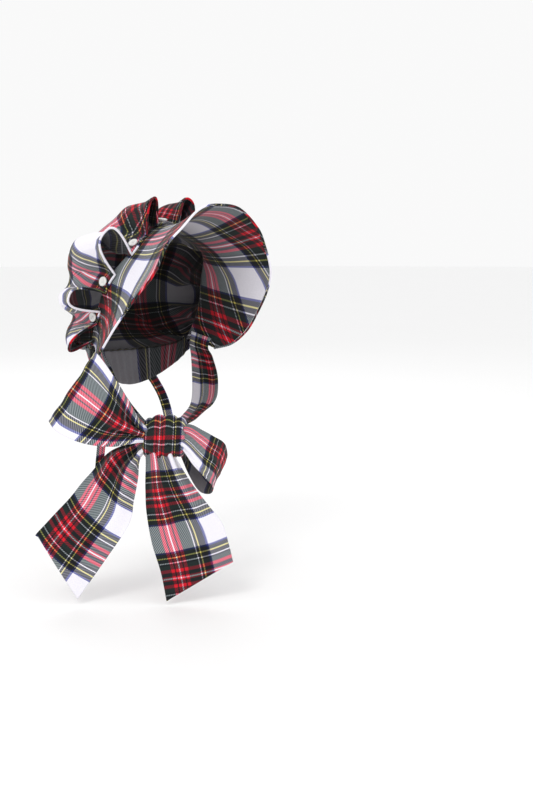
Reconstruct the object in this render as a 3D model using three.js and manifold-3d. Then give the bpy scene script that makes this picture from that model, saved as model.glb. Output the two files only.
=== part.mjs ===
import * as THREE from 'three';
import Module from 'manifold-3d';

// A baby bonnet: a stiff flaring brim, a soft crown that stands off in eight arches
// between its buttons, a narrow tie at the nape and wide chin ties in a big bow.
// Millimetres. The wearer faces -Y, the wearer's left is +X and up is +Z, and the top
// of the head bears at the origin. Tables give a point as side (towards the wearer's
// left), front and up; the bow's tables give along, out and up in the bow's own plane.

// Cloth
const clothThick = 1.2;
const brimThick = 2.4;
const tieThick = 1;
const gap = 0.35;

// Brim
const brimTuckedBack = 12;
const brimBehindSeam = 8;
const brimHollow = 7;
const brimHollowLean = 0.8;
const pipingRadius = 1.2;

// Crown
const hemRadius = 1.5;
const hemGap = 0.5;
const crownCentreUp = -62;
const crownBackFront = -112;
const crownBackUp = -66;
const crownSquareness = 2.8;
const crownFullness = 0.17;
const napeSquareness = 1.9;
const napeCorner = 0.7;
const napeEnd = 0.93;
const archReach = 0.62;
const archRoundness = 2.4;
const archSharpness = 1.2;

// Buttons
const buttonRadius = 4.8;
const buttonThick = 2;
const buttonBehindHem = 8;
const buttonLift = 0.65;

// Nape tie's knot: its size by side, front and up, how far round the casing from the
// centre back it is tied, and how far behind and below the casing it lies
const napeKnotSize = [14, 10, 12];
const napeKnotShare = -0.11;
const napeKnotBehind = 7;
const napeKnotBelow = 5.8;

// Bow
const bowTurn = THREE.MathUtils.degToRad(38);
const knotAlong = -9;
const knotOut = 46;
const knotUp = -205;
const knotDepthShare = 0.68;

// How finely the forms are faceted, and the short way along a curve that gives its slope
const brimSteps = 42;
const brimWidthSteps = 5;
const flatSteps = 4;
const archSteps = 10;
const napeSteps = 10;
const cordSides = 6;
const knotSides = 16;
const ribbonWidthSteps = 6;
const tieWidthSteps = 2;
const nearby = 0.01;

// Where the crown's hem is buttoned down over the brim, from the top centre (share 0) to
// the lower corner (share 1).
const seamRows = [
  { share: 0.0, side: 0, front: -8, up: 3 },
  { share: 0.16, side: 26, front: -5, up: -8 },
  { share: 0.34, side: 48, front: 0, up: -26 },
  { share: 0.585, side: 64, front: -20, up: -58 },
  { share: 0.8, side: 69, front: -32, up: -93 },
  { share: 1.0, side: 67, front: -47, up: -124 },
];

// The brim's front edge with its piping on, by the same share.
const rimRows = [
  { share: 0.0, side: 0, front: 76, up: 18 },
  { share: 0.104, side: 24, front: 76, up: 14.5 },
  { share: 0.231, side: 47, front: 76, up: -4 },
  { share: 0.319, side: 60, front: 71, up: -19 },
  { share: 0.442, side: 72, front: 67, up: -45 },
  { share: 0.559, side: 81, front: 52, up: -66 },
  { share: 0.716, side: 87, front: 28, up: -93 },
  { share: 0.81, side: 88, front: 13, up: -109 },
  { share: 0.915, side: 84, front: -6, up: -123 },
  { share: 1.0, side: 76, front: -24, up: -128 },
];

// The arches of one side: where each leaves the brim and comes back to it, by the share
// along the seam, the tip of its edge, how far its sides belly apart, and how fast its
// ridge sinks into the crown behind it.
const archRows = [
  { from: 0.075, to: 0.17, side: 23, front: 0, up: 25, belly: 3, fade: 3 },
  { from: 0.36, to: 0.515, side: 76, front: -7, up: -8, belly: 6, fade: 1.3 },
  { from: 0.64, to: 0.76, side: 97, front: -38, up: -69, belly: 5, fade: 2 },
  { from: 0.84, to: 0.955, side: 94, front: -44, up: -118, belly: 4, fade: 2 },
];

// The casing line round the nape, and the flap's edge below it, from the centre back
// (share 0) to the lower corner (share 1).
const casingRows = [
  { share: 0, side: 0, front: -78, up: -129 },
  { share: 0.34, side: 30, front: -75, up: -128 },
  { share: 0.67, side: 57, front: -66, up: -124 },
  { share: 1, side: 68, front: -60, up: -115 },
];
const flapRows = [
  { share: 0, side: 0, front: -71, up: -165 },
  { share: 0.34, side: 29, front: -68, up: -158 },
  { share: 0.67, side: 53, front: -61, up: -143 },
  { share: 1, side: 66, front: -51, up: -126 },
];

// A smooth curve through the rows of a table, read by its share column.
function curveThrough(rows, names) {
  const slope = (index, name) => {
    const before = rows[Math.max(index - 1, 0)];
    const after = rows[Math.min(index + 1, rows.length - 1)];
    return (after[name] - before[name]) / (after.share - before.share);
  };
  return (share) => {
    let index = 0;
    while (index < rows.length - 2 && share > rows[index + 1].share) index += 1;
    const [a, b] = [rows[index], rows[index + 1]];
    const span = b.share - a.share;
    const s = (share - a.share) / span;
    const value = (name) => {
      const start = 2 * s ** 3 - 3 * s ** 2 + 1;
      const startSlope = (s ** 3 - 2 * s ** 2 + s) * span;
      const endSlope = (s ** 3 - s ** 2) * span;
      return start * a[name] + (1 - start) * b[name]
        + startSlope * slope(index, name) + endSlope * slope(index + 1, name);
    };
    return names.map(value);
  };
}

// The rows of the left side and their mirror images, as one table from share -1 to 1.
function bothSides(rows) {
  const mirrored = rows.slice(1).reverse().map((row) => (
    { ...row, share: -row.share, side: -row.side }));
  return [...mirrored, ...rows];
}

const worn = (side, front, up) => new THREE.Vector3(side, -front, up);
const wornCurve = (rows) => {
  const curve = curveThrough(rows, ['side', 'front', 'up']);
  return (share) => worn(...curve(share));
};

const inBow = (along, out, up) => worn(
  along * Math.cos(bowTurn) - out * Math.sin(bowTurn),
  along * Math.sin(bowTurn) + out * Math.cos(bowTurn),
  up);

const seam = wornCurve(bothSides(seamRows));
const piped = wornCurve(bothSides(rimRows));
const rim = (share) => {
  const edge = piped(share);
  const back = seam(share).sub(edge).normalize();
  return edge.addScaledVector(back, 2 * pipingRadius + gap);
};

function geometryOf(positions, faces) {
  let volume = 0;
  const corner = (index) => positions[index];
  for (const [a, b, c] of faces) {
    volume += corner(a).dot(new THREE.Vector3().crossVectors(corner(b), corner(c)));
  }
  const outward = volume > 0 ? faces : faces.map(([a, b, c]) => [a, c, b]);
  const geometry = new THREE.BufferGeometry();
  geometry.setAttribute('position', new THREE.Float32BufferAttribute(
    positions.flatMap((p) => p.toArray()), 3));
  geometry.setIndex(outward.flat());
  geometry.computeVertexNormals();
  return geometry;
}

// A closed sheet of cloth round a grid of points: rows x columns, offset half the
// thickness to each side. A ring's columns close on themselves, and a pole is a first
// row whose points are one.
function clothSheet(grid, thick, { ring = false, pole = false } = {}) {
  const rows = grid.length;
  const columns = grid[0].length;
  const column = (j) => (ring ? (j + columns) % columns : Math.min(Math.max(j, 0), columns - 1));
  const normal = (i, j) => {
    const down = grid[Math.min(i + 1, rows - 1)][j].clone().sub(grid[Math.max(i - 1, 0)][j]);
    const across = grid[i][column(j + 1)].clone().sub(grid[i][column(j - 1)]);
    return down.cross(across).normalize();
  };
  const positions = [];
  const side = (sign) => grid.map((row, i) => row.map((point, j) => {
    if (pole && i === 0) {
      if (j > 0) return positions.length - 1;
      const mean = new THREE.Vector3();
      row.forEach((_, k) => mean.add(normal(1, k)));
      positions.push(point.clone().addScaledVector(mean.normalize(), sign * thick / 2));
      return positions.length - 1;
    }
    positions.push(point.clone().addScaledVector(normal(i, j), sign * thick / 2));
    return positions.length - 1;
  }));
  const upper = side(1);
  const lower = side(-1);
  const faces = [];
  const quad = (a, b, c, d) => {
    for (const face of [[a, b, c], [a, c, d]]) {
      if (new Set(face).size === 3) faces.push(face);
    }
  };
  const lastColumn = ring ? columns : columns - 1;
  for (let i = 0; i < rows - 1; i += 1) {
    for (let j = 0; j < lastColumn; j += 1) {
      const next = column(j + 1);
      quad(upper[i][j], upper[i][next], upper[i + 1][next], upper[i + 1][j]);
      quad(lower[i][j], lower[i + 1][j], lower[i + 1][next], lower[i][next]);
    }
  }
  for (let j = 0; j < lastColumn; j += 1) {
    const next = column(j + 1);
    const end = rows - 1;
    quad(upper[end][j], upper[end][next], lower[end][next], lower[end][j]);
    if (!pole) quad(upper[0][j], lower[0][j], lower[0][next], upper[0][next]);
  }
  if (!ring) {
    const end = columns - 1;
    for (let i = 0; i < rows - 1; i += 1) {
      quad(upper[i][0], upper[i + 1][0], lower[i + 1][0], lower[i][0]);
      quad(upper[i][end], lower[i][end], lower[i + 1][end], upper[i + 1][end]);
    }
  }
  return geometryOf(positions, faces);
}

// A round cord along a line of points, with flat ends.
function cord(points, radius, sides) {
  const positions = [];
  const faces = [];
  let across = new THREE.Vector3(0, 0, 1);
  points.forEach((point, i) => {
    const before = points[Math.max(i - 1, 0)];
    const after = points[Math.min(i + 1, points.length - 1)];
    const ahead = after.clone().sub(before).normalize();
    across = across.clone().addScaledVector(ahead, -across.dot(ahead)).normalize();
    const third = new THREE.Vector3().crossVectors(ahead, across);
    for (let k = 0; k < sides; k += 1) {
      const angle = (2 * Math.PI * k) / sides;
      positions.push(point.clone()
        .addScaledVector(across, radius * Math.cos(angle))
        .addScaledVector(third, radius * Math.sin(angle)));
    }
  });
  for (let i = 0; i < points.length - 1; i += 1) {
    for (let k = 0; k < sides; k += 1) {
      const a = i * sides + k;
      const b = i * sides + ((k + 1) % sides);
      faces.push([a, b, b + sides], [a, b + sides, a + sides]);
    }
  }
  const last = (points.length - 1) * sides;
  for (let k = 1; k < sides - 1; k += 1) {
    faces.push([0, k + 1, k], [last, last + k, last + k + 1]);
  }
  return geometryOf(positions, faces);
}

const span = (count, from = 0, to = 1) => (
  Array.from({ length: count + 1 }, (_, i) => from + ((to - from) * i) / count));

// The brim's form from where the crown turns down behind it (width 0) to its front edge
// (width 1), a little hollow across, like a trumpet's mouth.
function brimPoint(share, width) {
  const front = rim(share);
  const back = seam(share);
  const across = front.clone().sub(back).normalize();
  back.addScaledVector(across, -brimTuckedBack);
  const inward = new THREE.Vector3(-back.x, 0, crownCentreUp - back.z).normalize();
  return back.lerp(front, width)
    .addScaledVector(inward, brimHollow * Math.sin(Math.PI * width ** brimHollowLean));
}

const brimShares = span(brimSteps, -1, 1);
const widthAt = (share, distance) => distance / (rim(share).distanceTo(seam(share)) + brimTuckedBack);
const brimStart = (share) => widthAt(share, brimTuckedBack - brimBehindSeam);
const brimGrid = span(brimWidthSteps).map((width) => brimShares.map((share) => (
  brimPoint(share, THREE.MathUtils.lerp(brimStart(share), 1, width)))));

// The outward direction of the brim's face.
function brimOutward(share, width) {
  const along = brimPoint(Math.min(share + nearby, 1), width)
    .sub(brimPoint(Math.max(share - nearby, -1), width));
  const across = brimPoint(share, width + nearby).sub(brimPoint(share, width));
  const normal = along.cross(across).normalize();
  const middle = new THREE.Vector3(0, 0, crownCentreUp);
  return normal.dot(brimPoint(share, width).sub(middle)) > 0 ? normal : normal.negate();
}

const pipingLine = brimShares.map((share) => {
  const along = brimPoint(Math.min(share + nearby, 1), 1)
    .sub(brimPoint(Math.max(share - nearby, -1), 1)).normalize();
  const outward = brimPoint(share, 1).sub(brimPoint(share, 1 - nearby));
  outward.addScaledVector(along, -outward.dot(along)).normalize();
  return brimPoint(share, 1).addScaledVector(outward, pipingRadius + gap);
});

// A point over the brim, a distance ahead of where the crown turns down behind it.
const overBrim = (share, ahead, lift) => brimPoint(share, widthAt(share, ahead))
  .addScaledVector(brimOutward(share, widthAt(share, ahead)), lift);
const hemOver = brimThick / 2 + hemRadius + hemGap;

// The hem's centreline where it is buttoned down, just clear of the brim, and the
// crown's cloth behind it there.
const buttonedDown = (share) => overBrim(share, brimTuckedBack, hemOver);
const collarAt = (share, ahead) => overBrim(share, ahead, hemOver);

// The hem's stations from the wearer's right corner over the top to the left one: each
// has its place on the buttoned line and how far the arch lifts it away.
function hemStations() {
  const mirrored = archRows.map((row) => (
    { ...row, from: -row.to, to: -row.from, side: -row.side }));
  const arches = [...mirrored, ...archRows].sort((a, b) => a.from - b.from);
  const stations = [];
  const flat = (share) => stations.push({ share, lift: new THREE.Vector3(), fade: 1 });
  let reached = -1;
  for (const arch of arches) {
    span(flatSteps, reached, arch.from).forEach(flat);
    const tip = worn(arch.side, arch.front, arch.up);
    const rise = tip.sub(buttonedDown((arch.from + arch.to) / 2));
    const along = buttonedDown(arch.to).sub(buttonedDown(arch.from)).normalize();
    for (const s of span(archSteps).slice(1, -1)) {
      const height = (1 - Math.abs(2 * s - 1) ** archRoundness) ** archSharpness;
      const belly = -arch.belly * Math.sin(2 * Math.PI * s);
      const lift = rise.clone().multiplyScalar(height).addScaledVector(along, belly);
      const share = arch.from + (arch.to - arch.from) * s;
      stations.push({ share, lift, fade: arch.fade });
    }
    reached = arch.to;
  }
  span(flatSteps, reached, 1).forEach(flat);
  return stations;
}

// The crown's own form from the centre back (turn 0) to a point on its edge (turn 1),
// full and squarish like a bag. slack is 1 over the head and 0 at the nape, where the
// bag is drawn in.
function domePoint(edge, turn, slack) {
  const angle = (turn * Math.PI) / 2;
  const power = 2 / THREE.MathUtils.lerp(napeSquareness, crownSquareness, slack);
  const fullness = crownFullness * slack;
  const width = Math.sin(angle) ** power * (1 + fullness * Math.sin(2 * angle));
  const depth = Math.cos(angle) ** power;
  const centre = THREE.MathUtils.lerp(crownCentreUp, crownBackUp, depth);
  return new THREE.Vector3(
    edge.x * width,
    edge.y + (-crownBackFront - edge.y) * depth,
    centre + (edge.z - crownCentreUp) * width);
}

// How far round the dome each row lies. Past the dome's own rows come two more: on the
// brim up to the hem, or down the nape flap.
const domeTurns = [0, 0.18, 0.38, 0.56, 0.71, 0.86, 1];
const lastDomeRow = domeTurns.length - 1;
const rowsPastDome = 2;
const edgeRow = lastDomeRow + rowsPastDome;
const collarTurn = 0.9;
const drawnInFrom = 0.55;
const drawnInTo = 0.85;
const drawnInBy = 0.7;

function frontColumn({ share, lift, fade }) {
  const slack = 1 - drawnInBy * THREE.MathUtils.smoothstep(Math.abs(share), drawnInFrom, drawnInTo);
  const reach = (turn) => Math.max(0, 1 - (1 - turn) / archReach) ** fade;
  const column = domeTurns.map((turn) => (
    domePoint(collarAt(share, 0), turn, slack).addScaledVector(lift, reach(turn * collarTurn))));
  for (const past of span(rowsPastDome).slice(1)) {
    column.push(collarAt(share, past * (brimTuckedBack - hemRadius - hemGap))
      .addScaledVector(lift, reach(THREE.MathUtils.lerp(collarTurn, 1, past))));
  }
  return column;
}

const casing = wornCurve(bothSides(casingRows));
const flapEdge = wornCurve(bothSides(flapRows));

function napeColumn(share) {
  const line = casing(share);
  const edge = flapEdge(share);
  const slack = (1 - drawnInBy) * THREE.MathUtils.smoothstep(Math.abs(share), napeCorner, 1);
  return [
    ...domeTurns.map((turn) => domePoint(line, turn, slack)),
    ...span(rowsPastDome).slice(1).map((past) => line.clone().lerp(edge, past)),
  ];
}

const stations = hemStations();
const hemLine = stations.map(({ share, lift }) => buttonedDown(share).add(lift));
const frontColumns = stations.map(frontColumn);

// The crown's edge ends square against the hem's cord.
frontColumns.forEach((column, i) => {
  const before = hemLine[Math.max(i - 1, 0)];
  const after = hemLine[Math.min(i + 1, hemLine.length - 1)];
  const along = after.clone().sub(before).normalize();
  const back = column[edgeRow].clone().sub(hemLine[i]);
  back.addScaledVector(along, -back.dot(along)).normalize();
  column[edgeRow].copy(hemLine[i]).addScaledVector(back, hemRadius + hemGap);
});
const napeColumns = span(napeSteps, napeEnd, -napeEnd).map(napeColumn);
const crownColumns = [...frontColumns, ...napeColumns];
const crownGrid = crownColumns[0].map((_, i) => crownColumns.map((column) => column[i]));

// A button lies on the crown where its edge is buttoned down, a little behind the hem.
function buttonPlace(share) {
  const ahead = brimTuckedBack - buttonBehindHem;
  const normal = brimOutward(share, widthAt(share, ahead));
  const place = collarAt(share, ahead)
    .addScaledVector(normal, clothThick / 2 + buttonLift + buttonThick / 2);
  return { place, normal };
}

const buttonShares = [-0.8, -0.58, -0.28, 0, 0.28, 0.58, 0.8];

// A ribbon between its two edges, each a curve through the rows of a table. puff bows
// it out across, and pleat gathers it into folds.
function ribbonGrid(rows, place, lengthSteps, widthSteps, folds = 2) {
  const edgeA = curveThrough(rows, ['aAlong', 'aOut', 'aUp']);
  const edgeB = curveThrough(rows, ['bAlong', 'bOut', 'bUp']);
  const form = curveThrough(rows, ['puff', 'pleat']);
  const flat = (u, v) => place(...edgeA(u)).lerp(place(...edgeB(u)), v);
  return span(lengthSteps).map((u) => span(widthSteps).map((v) => {
    const ahead = flat(Math.min(u + nearby, 1), 0.5).sub(flat(Math.max(u - nearby, 0), 0.5));
    const across = flat(u, 1).sub(flat(u, 0));
    const normal = ahead.cross(across).normalize();
    const [puff, pleat] = form(u);
    const bowed = puff * 4 * v * (1 - v) + pleat * Math.cos(2 * Math.PI * folds * v);
    return flat(u, v).addScaledVector(normal, bowed);
  }));
}

const row = (share, a, b, puff = 0, pleat = 0) => ({
  share, aAlong: a[0], aOut: a[1], aUp: a[2], bAlong: b[0], bOut: b[1], bUp: b[2], puff, pleat,
});

// The big loop on the wearer's right, out from the knot in front, round its fold and
// back behind. Edge a is the upper one.
const loopRightRows = [
  row(0, [-22, 50, -196], [-22, 50, -209]),
  row(0.06, [-32, 55, -188], [-35, 53, -208], 0, 1.5),
  row(0.17, [-43, 64, -166], [-62, 62, -210], -4, 2.5),
  row(0.29, [-58, 63, -140], [-88, 64, -206], -6, 1.5),
  row(0.41, [-71, 55, -123], [-111, 57, -197], -4),
  row(0.47, [-75, 47, -122], [-119, 46, -189]),
  row(0.53, [-73, 43, -127], [-117, 37, -190], 2),
  row(0.64, [-64, 42, -141], [-96, 34, -200], 2),
  row(0.78, [-49, 42, -166], [-68, 37, -206], 2, 1.5),
  row(0.92, [-36, 43, -189], [-40, 40, -206], 0, 2),
  row(1, [-22, 42, -198], [-22, 42, -208]),
];

// The smaller loop on the wearer's left, which hangs over and shows its hollow.
const loopLeftRows = [
  row(0, [4, 50, -193], [4, 52, -212]),
  row(0.1, [15, 54, -191], [9, 60, -217], 0, 1.5),
  row(0.24, [28, 56, -197], [18, 68, -228], 3, 1),
  row(0.36, [39, 52, -204], [27, 69, -238], 4),
  row(0.46, [50, 41, -213], [38, 57, -252], 3),
  row(0.53, [53, 31, -226], [35, 43, -262]),
  row(0.6, [50, 22, -229], [28, 32, -257], -3),
  row(0.72, [39, 16, -216], [21, 22, -240], -4),
  row(0.86, [23, 20, -203], [12, 24, -224], -2, 1),
  row(1, [4, 39, -201], [2, 39, -212]),
];

// The tails: edge a is the wearer's right one. Both are cut at a slant.
const tailRightRows = [
  row(0, [-27, 48, -198], [-24, 52, -214]),
  row(0.09, [-38, 44, -208], [-33, 50, -223], 0, -2),
  row(0.24, [-64, 42, -219], [-36, 60, -240], 3, -2.5),
  row(0.42, [-83, 47, -240], [-40, 66, -263], 3, -1.5),
  row(0.6, [-103, 53, -264], [-44, 66, -285], 2, -1),
  row(0.8, [-131, 58, -293], [-64, 64, -316], 2),
  row(1, [-133, 58, -296], [-95, 61, -360], 2),
];
const tailLeftRows = [
  row(0, [-28, 50, -212], [-4, 50, -212]),
  row(0.1, [-27, 57, -226], [3, 54, -225], 0, -2.5),
  row(0.3, [-28, 62, -252], [16, 60, -247], 0, -3),
  row(0.5, [-27, 66, -276], [33, 62, -270], -3, -2),
  row(0.7, [-22, 68, -306], [46, 62, -288], -2, -1),
  row(0.85, [-14, 69, -334], [52, 62, -308], 0, -0.5),
  row(1, [-9, 69, -362], [56, 62, -326]),
];

// The chin ties, from inside the brim's lower corners round under the chin to the knot.
// Edge a is the front one. They are given by side, front and up.
const strapRightRows = [
  row(0, [-69.6, -24.4, -117.6], [-60.2, -45.5, -110.6], 2),
  row(0.12, [-66.8, -26, -127], [-58.4, -46, -124], 1, 0.5),
  row(0.25, [-66, -20, -136], [-56, -42, -138], 0, 1.5),
  row(0.5, [-61, -10, -156], [-50, -34, -162], -1, 1.2),
  row(0.78, [-51, 4, -182], [-39, -17, -187], -1, 1.2),
  row(1, [-43, 20, -197], [-34, 10, -202]),
];
const strapLeftRows = [
  row(0, [69.6, -24.4, -117.6], [60.2, -45.5, -110.6], -2),
  row(0.08, [66.8, -26, -127], [58.4, -46, -124], -1, -0.5),
  row(0.18, [66, -18, -136], [56, -40, -138], 0, -1.5),
  row(0.36, [60, -2, -158], [49, -30, -164], 1, -1.2),
  row(0.55, [45, 12, -178], [35, -16, -184], 1, -1.2),
  row(0.78, [14, 25, -189], [4, 2, -197], 1, -1.2),
  row(1, [-20, 34, -196], [-22, 22, -202]),
];

// The narrow tie at the nape: its middle line, and half its width as it turns.
const tieRow = (share, middle, half) => row(
  share, middle.map((v, k) => v + half[k]), middle.map((v, k) => v - half[k]));
const napeLoopLeftRows = [
  tieRow(0, [-4, -88, -134], [0, 1, 3]),
  tieRow(0.12, [12, -102, -127], [0.5, 0, 4.8]),
  tieRow(0.26, [32, -106, -119], [1, -0.5, 4.8]),
  tieRow(0.39, [54, -98, -113], [1, -1, 4.8]),
  tieRow(0.48, [69, -86, -113], [0, -1, 5]),
  tieRow(0.54, [74, -79, -116], [-0.5, -1, 5]),
  tieRow(0.6, [68, -84, -121], [-0.5, -1.5, 5]),
  tieRow(0.72, [50, -94, -124], [0, -1.5, 5]),
  tieRow(0.86, [26, -98, -129], [0, -1, 5]),
  tieRow(1, [-4, -85, -137], [0, 0, 3]),
];
const napeLoopRightRows = [
  tieRow(0, [-16, -85, -136], [1, 1, 3.5]),
  tieRow(0.14, [-32, -84, -139], [1, 1.5, 4.5]),
  tieRow(0.28, [-50, -76, -144], [1.5, 2.5, 4]),
  tieRow(0.4, [-64, -63, -152], [2, 3.5, 2.5]),
  tieRow(0.5, [-71, -50, -163], [3, 4, 0.5]),
  tieRow(0.6, [-65, -52, -173], [3, 4, -1]),
  tieRow(0.7, [-54, -62, -171], [2, 4.5, 1]),
  tieRow(0.82, [-38, -72, -161], [0, 4.5, 2]),
  tieRow(1, [-16, -82, -141], [-1, 3, 3]),
];
const napeTailLeftRows = [
  tieRow(0, [-6, -84, -141], [1, 1, 2.5]),
  tieRow(0.13, [9, -85, -144], [1.5, 1, 4]),
  tieRow(0.26, [26, -84, -151], [3.5, 1, 3.2]),
  tieRow(0.42, [39, -81, -167], [4.5, 1, 1.6]),
  tieRow(0.6, [47, -76, -188], [4, 2.5, 1]),
  tieRow(0.8, [50, -71, -214], [3.5, 3.5, 0]),
  tieRow(1, [50, -66, -243], [4, 2.5, -0.5]),
];
const napeTailRightRows = [
  tieRow(0, [-12, -86, -141], [4, 1, 1]),
  tieRow(0.16, [-18, -84, -155], [4.5, 1.5, 1.5]),
  tieRow(0.36, [-26, -79, -178], [4, 2.5, 1.5]),
  tieRow(0.56, [-35, -73, -202], [4.5, 1.5, 1.5]),
  tieRow(0.78, [-44, -66, -230], [4, 2, 1.5]),
  tieRow(1, [-52, -60, -258], [3, 3, 1]),
];

// The knot: the tie wrapped round the bow's middle, its pleats running up and down.
const knotProfile = [
  { along: -22.5, radius: 0 },
  { along: -22, radius: 9 },
  { along: -19, radius: 16.5 },
  { along: -14, radius: 19.5 },
  { along: -10, radius: 18.4 },
  { along: -7, radius: 20.6 },
  { along: -4, radius: 19 },
  { along: -1, radius: 21 },
  { along: 2.5, radius: 19 },
  { along: 6, radius: 20.4 },
  { along: 9, radius: 18.8 },
  { along: 14, radius: 19.2 },
  { along: 19, radius: 16 },
  { along: 22, radius: 9 },
  { along: 22.5, radius: 0 },
];

function knotGeometry(profile, grow, sides) {
  const outline = profile.map(({ along, radius }) => {
    const wide = radius > 0 ? radius + grow : 0;
    return new THREE.Vector2(wide, along + Math.sign(along) * grow);
  });
  const geometry = new THREE.LatheGeometry(outline, sides);
  geometry.rotateZ(-Math.PI / 2);
  geometry.scale(1, knotDepthShare, 1);
  geometry.rotateZ(-bowTurn);
  const middle = inBow(knotAlong, knotOut, knotUp);
  geometry.translate(middle.x, middle.y, middle.z);
  return geometry;
}

const keyedPerMillimetre = 10000;
const wasm = await Module();
wasm.setup();

// A closed geometry as a solid that can be cut, and back.
function solidOf(geometry) {
  const position = geometry.getAttribute('position');
  const keyed = new Map();
  const vertices = [];
  const order = [];
  for (let i = 0; i < position.count; i += 1) {
    const point = [position.getX(i), position.getY(i), position.getZ(i)];
    const key = point.map((value) => Math.round(value * keyedPerMillimetre)).join();
    if (!keyed.has(key)) {
      keyed.set(key, vertices.length / 3);
      vertices.push(...point);
    }
    order.push(keyed.get(key));
  }
  const corners = [...geometry.getIndex().array].map((index) => order[index]);
  const faces = [];
  for (let i = 0; i < corners.length; i += 3) {
    const face = corners.slice(i, i + 3);
    if (new Set(face).size === 3) faces.push(...face);
  }
  return new wasm.Manifold(new wasm.Mesh({
    numProp: 3, vertProperties: new Float32Array(vertices), triVerts: new Uint32Array(faces),
  }));
}

function geometryFrom(solid) {
  const { vertProperties, triVerts } = solid.getMesh();
  const geometry = new THREE.BufferGeometry();
  geometry.setAttribute('position', new THREE.BufferAttribute(vertProperties, 3));
  geometry.setIndex(new THREE.BufferAttribute(triVerts, 1));
  geometry.computeVertexNormals();
  return geometry;
}

// A ribbon that runs into a knot ends a small gap outside it.
const cutAt = (knot) => (geometry) => {
  const pieces = solidOf(geometry).subtract(solidOf(knot)).decompose();
  pieces.sort((a, b) => b.volume() - a.volume());
  return geometryFrom(pieces[0]);
};

function napeKnotGeometry(grow) {
  const geometry = new THREE.SphereGeometry(1, 14, 10);
  geometry.scale(...napeKnotSize.map((size) => size / 2 + grow));
  const line = casing(napeKnotShare);
  geometry.translate(line.x, line.y + napeKnotBehind, line.z - napeKnotBelow);
  return geometry;
}

const clothFinish = (color) => new THREE.MeshStandardMaterial(
  { color, roughness: 0.9, metalness: 0, side: THREE.DoubleSide });
const tartan = clothFinish(0x8a4a52);
const tartanLight = clothFinish(0xa8a6ad);
const whiteEdge = clothFinish(0xe8e6ec);
const buttonWhite = new THREE.MeshStandardMaterial({ color: 0xf4f3f1, roughness: 0.35, metalness: 0 });

const bonnet = new THREE.Group();
bonnet.name = 'bonnet';

function add(name, geometry, material, parent = bonnet) {
  const mesh = new THREE.Mesh(geometry, material.clone());
  mesh.name = name;
  parent.add(mesh);
  return mesh;
}

add('brim', clothSheet(brimGrid, brimThick), tartan);
add('brim_piping', cord(pipingLine, pipingRadius, cordSides), whiteEdge);
add('crown', clothSheet(crownGrid, clothThick, { ring: true, pole: true }), tartanLight);
add('crown_hem', cord(hemLine, hemRadius, cordSides), whiteEdge);

buttonShares.forEach((share, index) => {
  const { place, normal } = buttonPlace(share);
  const geometry = new THREE.CylinderGeometry(buttonRadius, buttonRadius, buttonThick, 16);
  const button = add(`button_${index + 1}`, geometry, buttonWhite);
  button.position.copy(place);
  button.quaternion.setFromUnitVectors(new THREE.Vector3(0, 1, 0), normal);
});

const bow = new THREE.Group();
bonnet.add(bow);
const intoBow = cutAt(knotGeometry(knotProfile, gap, knotSides));
const bowRibbon = (rows, place, steps) => intoBow(
  clothSheet(ribbonGrid(rows, place, steps, ribbonWidthSteps), clothThick));
add('bow_knot', knotGeometry(knotProfile, 0, knotSides), tartan, bow);
add('bow_loop_right', bowRibbon(loopRightRows, inBow, 20), tartanLight, bow);
add('bow_loop_left', bowRibbon(loopLeftRows, inBow, 18), tartanLight, bow);
add('bow_tail_right', bowRibbon(tailRightRows, inBow, 12), tartan, bow);
add('bow_tail_left', bowRibbon(tailLeftRows, inBow, 12), tartan, bow);
add('chin_strap_right', bowRibbon(strapRightRows, worn, 8), tartan, bow);
add('chin_strap_left', bowRibbon(strapLeftRows, worn, 12), tartan, bow);

const napeBow = new THREE.Group();
bonnet.add(napeBow);
const intoNapeKnot = cutAt(napeKnotGeometry(gap));
const tie = (rows, steps) => intoNapeKnot(
  clothSheet(ribbonGrid(rows, worn, steps, tieWidthSteps), tieThick));
add('nape_knot', napeKnotGeometry(0), tartan, napeBow);
add('nape_loop_left', tie(napeLoopLeftRows, 20), tartan, napeBow);
add('nape_loop_right', tie(napeLoopRightRows, 18), tartan, napeBow);
add('nape_tail_left', tie(napeTailLeftRows, 12), tartan, napeBow);
add('nape_tail_right', tie(napeTailRightRows, 10), tartan, napeBow);

export default bonnet;
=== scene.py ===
import math

import bmesh
import bpy
import numpy as np
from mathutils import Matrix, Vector, noise
from mathutils.bvhtree import BVHTree


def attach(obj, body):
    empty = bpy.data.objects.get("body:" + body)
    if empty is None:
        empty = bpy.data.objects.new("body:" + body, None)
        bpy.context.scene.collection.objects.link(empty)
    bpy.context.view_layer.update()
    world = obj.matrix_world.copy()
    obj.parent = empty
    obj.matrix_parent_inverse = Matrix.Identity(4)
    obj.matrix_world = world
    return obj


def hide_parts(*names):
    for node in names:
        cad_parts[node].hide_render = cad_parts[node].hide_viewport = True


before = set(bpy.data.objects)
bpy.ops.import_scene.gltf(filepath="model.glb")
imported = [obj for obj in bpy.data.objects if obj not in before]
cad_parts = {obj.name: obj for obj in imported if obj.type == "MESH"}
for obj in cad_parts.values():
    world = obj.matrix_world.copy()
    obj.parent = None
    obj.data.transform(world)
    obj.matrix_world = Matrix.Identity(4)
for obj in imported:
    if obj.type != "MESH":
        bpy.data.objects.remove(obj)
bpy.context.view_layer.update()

print("bonnet: frame loaded")

# Everything is worked out in millimetres: side is towards the wearer's left, front is
# the way the wearer faces, up is up. The top of the head is at the origin.
mm = 0.001


def worn(side, front, up):
    return np.stack(np.broadcast_arrays(side, -np.asarray(front, float), up), -1).astype(float)


def smooth(value, low, high):
    t = np.clip((np.asarray(value, float) - low) / (high - low), 0, 1)
    return t * t * (3 - 2 * t)


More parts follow.
